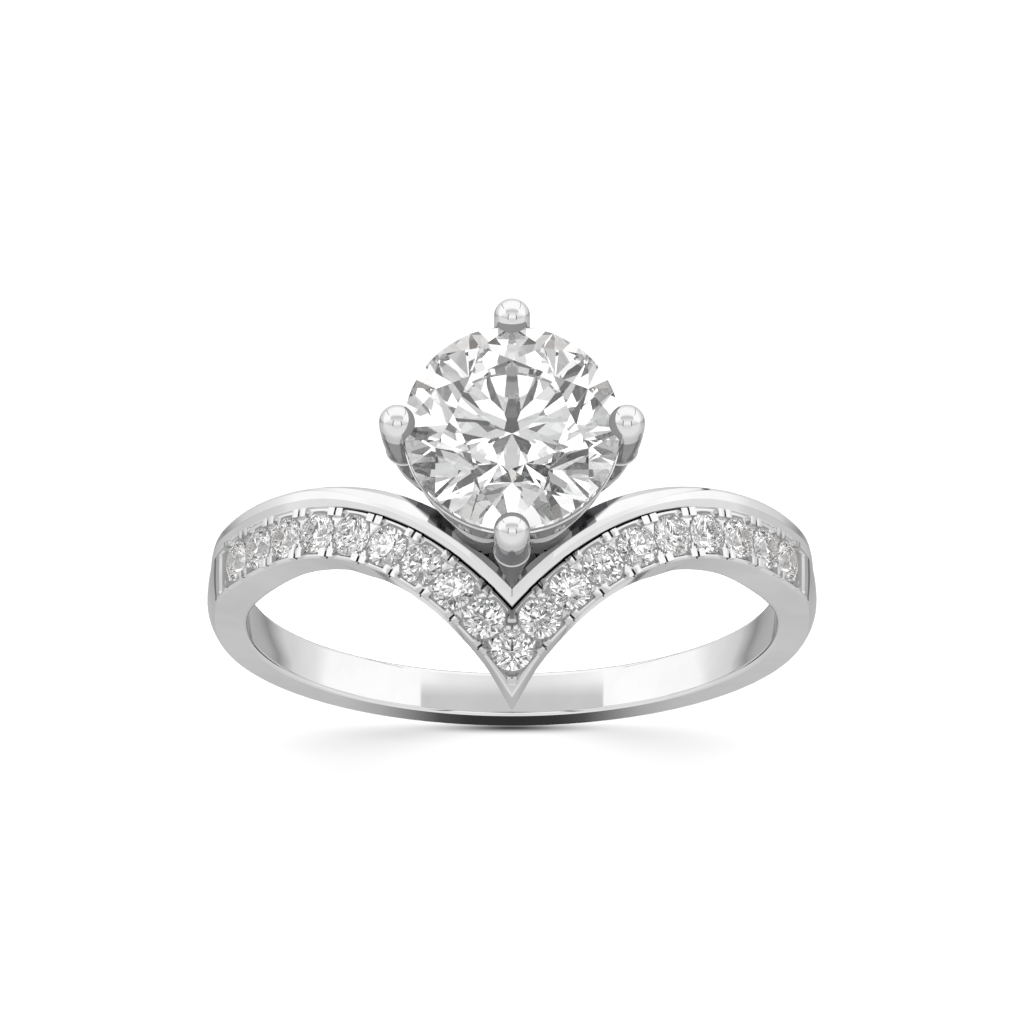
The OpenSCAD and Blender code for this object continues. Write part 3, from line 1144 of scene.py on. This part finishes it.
def metalLight(tree, coords, y, z):
    # the light that the metal mirrors in a direction
    def dotWithNormal(normal):
        return dotNode(tree, coords,
                       sum((axis * n for axis, n in zip(ringAxes, normal)), Vector()))

    def ramp(value, rows):
        return levelRamp(tree, value, [((angle + 180) / 360, level) for angle, level in rows])

    angle = mathNode(tree, "ARCTAN2", mathNode(tree, "MULTIPLY", y, -1), z)
    place = mathNode(tree, "ADD", mathNode(tree, "DIVIDE", angle, 2 * pi), 0.5)
    middle = ramp(place, middleLight)
    sides = ramp(place, sideLight)
    isFront = mathNode(tree, "GREATER_THAN", angle, radians(frontStart))
    isRest = mathNode(tree, "SUBTRACT", 1, isFront)
    planes = [dotWithNormal(gap[0]) for gap in softBoxGaps]
    left, right = (
        mathNode(tree, "ADD", mathNode(tree, "MULTIPLY", dotWithNormal(edge), isRest),
                 mathNode(tree, "MULTIPLY", plane, isFront))
        for edge, plane in zip(middleEdges, planes[1::2]))
    inMiddle = mathNode(tree, "MULTIPLY", mathNode(tree, "GREATER_THAN", left, 0),
                        mathNode(tree, "LESS_THAN", right, 0))
    light = blendNode(tree, inMiddle, sides, middle)
    for plane, (_, start, end, width, level) in zip(planes, softBoxGaps):
        on = mathNode(tree, "MULTIPLY", mathNode(tree, "GREATER_THAN", angle, radians(start)),
                      mathNode(tree, "LESS_THAN", angle, radians(end)))
        away = mathNode(tree, "DIVIDE", mathNode(tree, "ABSOLUTE", plane), width)
        line = softStep(tree, mathNode(tree, "SUBTRACT", 1, away), 0, gapSoftness)
        light = blendNode(tree, mathNode(tree, "MULTIPLY", line, on), light, greyLight(level))
    return light


def makeWorld():
    scene.world = bpy.data.worlds.new("softStudio")
    tree = nodesOf(scene.world)
    coords = addNode(tree, "ShaderNodeTexCoord").outputs["Generated"]
    x, y, z = (dotNode(tree, coords, axis) for axis in ringAxes)
    path = addNode(tree, "ShaderNodeLightPath")
    light = metalLight(tree, coords, y, z)
    for ray, seen in (("Is Singular Ray", stoneLevel(tree, x, y, z)),
                      ("Is Diffuse Ray", plainSky["onFloor"]),
                      ("Is Camera Ray", plainSky["behindRing"])):
        light = blendNode(tree, path.outputs[ray], light, seen)
    background = addNode(tree, "ShaderNodeBackground", {"Color": light})
    addNode(tree, "ShaderNodeOutputWorld", {"Surface": background.outputs["Background"]})


makeWorld()


floorLook = {
    "size": 3,
    "roughness": 0.9,
    "grainScale": 300,
    "colour": (0.9, 0.9, 0.9, 1),
    "grainColour": (0.89, 0.89, 0.893, 1),
    # soft shade under the band: strength, middle in X, half width in X, start in Y and how
    # far it fades in Y, in millimetres
    "shade": [
        (0.95, 0, 2.4, 15.95, 0.32),
        (0.24, 3.6, 2.4, 16.35, 0.6),
        (0.18, -3.6, 2.4, 16.35, 0.6),
        (0.11, 4.8, 3, 17.15, 0.8),
        (0.1, -4.8, 3, 17.15, 0.8),
        (0.13, 5.5, 3.4, 18.3, 2.6),
        (0.12, -5.5, 3.4, 18.3, 2.6),
    ],
}


def addPlane(name, corners, material):
    mesh = bpy.data.meshes.new(name)
    mesh.from_pydata(corners, [], [(0, 1, 2, 3)])
    mesh.materials.append(material)
    plane = bpy.data.objects.new(name, mesh)
    scene.collection.objects.link(plane)
    return plane


def bellNode(tree, value, middle, reach):
    # 1 in the middle, falling off on both sides
    away = mathNode(tree, "DIVIDE", mathNode(tree, "SUBTRACT", value, middle * mm), reach * mm)
    fall = mathNode(tree, "MULTIPLY", mathNode(tree, "MULTIPLY", away, away), -1)
    return mathNode(tree, "EXPONENT", fall)


def makeFloor():
    material = bpy.data.materials.new("paleFloor")
    tree = nodesOf(material)
    place = addNode(tree, "ShaderNodeTexCoord").outputs["Object"]
    grain = grainNode(tree, place, floorLook["grainScale"])
    colour = tintNode(tree, grain, floorLook["grainColour"], floorLook["colour"])
    split = addNode(tree, "ShaderNodeSeparateXYZ", {"Vector": place})
    for strength, acrossMiddle, acrossReach, start, fade in floorLook["shade"]:
        spot = mathNode(tree, "MULTIPLY",
                        bellNode(tree, split.outputs["X"], acrossMiddle, acrossReach),
                        bellNode(tree, split.outputs["Y"], start, fade))
        share = mathNode(tree, "MULTIPLY", spot, strength)
        colour = blendNode(tree, share, colour, (0, 0, 0, 1))
    shader = addNode(tree, "ShaderNodeBsdfPrincipled", {
        "Base Color": colour, "Roughness": floorLook["roughness"], "Specular IOR Level": 0})
    addNode(tree, "ShaderNodeOutputMaterial", {"Surface": shader.outputs["BSDF"]})
    half = floorLook["size"] / 2
    corners = [(-half, -half, 0), (half, -half, 0), (half, half, 0), (-half, half, 0)]
    floor = addPlane("floor", corners, material)
    floor.visible_glossy = False
    floor.visible_transmission = False
    return floor


floor = makeFloor()

# A card that only the metal sees, where the photograph's ground is in front of the band. It
# is dark in the middle: places in its ramp are shares of the half width.
# The card glows though it is no lamp: its dark middle is a painted shadow of the ground, as the
# metal would mirror it.
shadeCard = {
    "depth": 9.63,  # below the finger's axis
    "halfWidth": 13,
    "along": (-3.2, -0.2),
    "ramp": [(0, 50), (0.11, 56), (0.18, 80), (0.24, 130), (0.32, 172), (0.42, 195), (1, 210)],
}


def makeShadeCard():
    material = bpy.data.materials.new("frontShadeCard")
    tree = nodesOf(material)
    place = addNode(tree, "ShaderNodeTexCoord").outputs["Object"]
    split = addNode(tree, "ShaderNodeSeparateXYZ", {"Vector": place})
    side = mathNode(tree, "ABSOLUTE", split.outputs["X"])
    share = mathNode(tree, "DIVIDE", side, shadeCard["halfWidth"] * mm)
    glow = addNode(tree, "ShaderNodeEmission", {
        "Color": levelRamp(tree, share, shadeCard["ramp"])})
    addNode(tree, "ShaderNodeOutputMaterial", {"Surface": glow.outputs["Emission"]})
    w, z = shadeCard["halfWidth"], -shadeCard["depth"]
    front, back = shadeCard["along"]
    corners = [(-w, front, z), (w, front, z), (w, back, z), (-w, back, z)]
    card = addPlane("frontShadeCard", [lie(*c) for c in corners], material)
    card.visible_camera = False
    card.visible_diffuse = False
    card.visible_transmission = False
    card.visible_shadow = False


makeShadeCard()

floorSun = {
    "strength": 3.6,
    "angle": 60,  # degrees that it is wide
}


def makeFloorSun():
    # lights the floor alone, and the ring throws no shadow in it
    lamp = bpy.data.lights.new("floorSun", "SUN")
    lamp.energy = floorSun["strength"]
    lamp.angle = radians(floorSun["angle"])
    sun = bpy.data.objects.new("floorSun", lamp)
    scene.collection.objects.link(sun)
    receivers = bpy.data.collections.new("floorOnly")
    receivers.objects.link(floor)
    sun.light_linking.receiver_collection = receivers
    blockers = bpy.data.collections.new("noBlockers")
    blockers.objects.link(floor)
    sun.light_linking.blocker_collection = blockers


makeFloorSun()


# The camera looks at the ring as the photograph does. The ring lies on its back, so the camera
# is upside down.

view = {
    "distance": 250,
    "elevation": 69.89,
    "frame": 1024,  # pixels
    "focal": 7977.75,  # in the same pixels
    "axisPixel": 605.73,  # how far down the frame the finger's axis would be
    "sensor": 36,
    "clip": (0.01, 10),
}


def makeCamera():
    e = radians(view["elevation"])
    toCamera = Vector((0, -cos(e), sin(e)))
    upward = Vector((0, sin(e), cos(e)))
    raised = (view["axisPixel"] - view["frame"] / 2) * view["distance"] / view["focal"]
    aim = upward * raised
    spot = toCamera * view["distance"]
    back = (spot - aim).normalized()
    right = Vector((1, 0, 0))
    up = back.cross(right)
    camera = bpy.data.cameras.new("camera")
    camera.sensor_width = view["sensor"]
    camera.lens = view["sensor"] * view["focal"] / view["frame"]
    camera.clip_start, camera.clip_end = view["clip"]
    eye = bpy.data.objects.new("camera", camera)
    scene.collection.objects.link(eye)
    matrix = Matrix([turned(*axis) for axis in (right, up, back)]).transposed().to_4x4()
    matrix.translation = lie(*spot)
    eye.matrix_world = matrix
    scene.camera = eye


makeCamera()

scene.cycles.max_bounces = 28
scene.cycles.transmission_bounces = 28
scene.cycles.glossy_bounces = 16
scene.cycles.transparent_max_bounces = 8
scene.cycles.sample_clamp_indirect = 6
scene.cycles.caustics_reflective = True
scene.cycles.caustics_refractive = True
scene.cycles.blur_glossy = 0
scene.cycles.use_denoising = True
scene.view_settings.view_transform = "Standard"
scene.view_settings.look = "None"
print("stage: surroundings made")
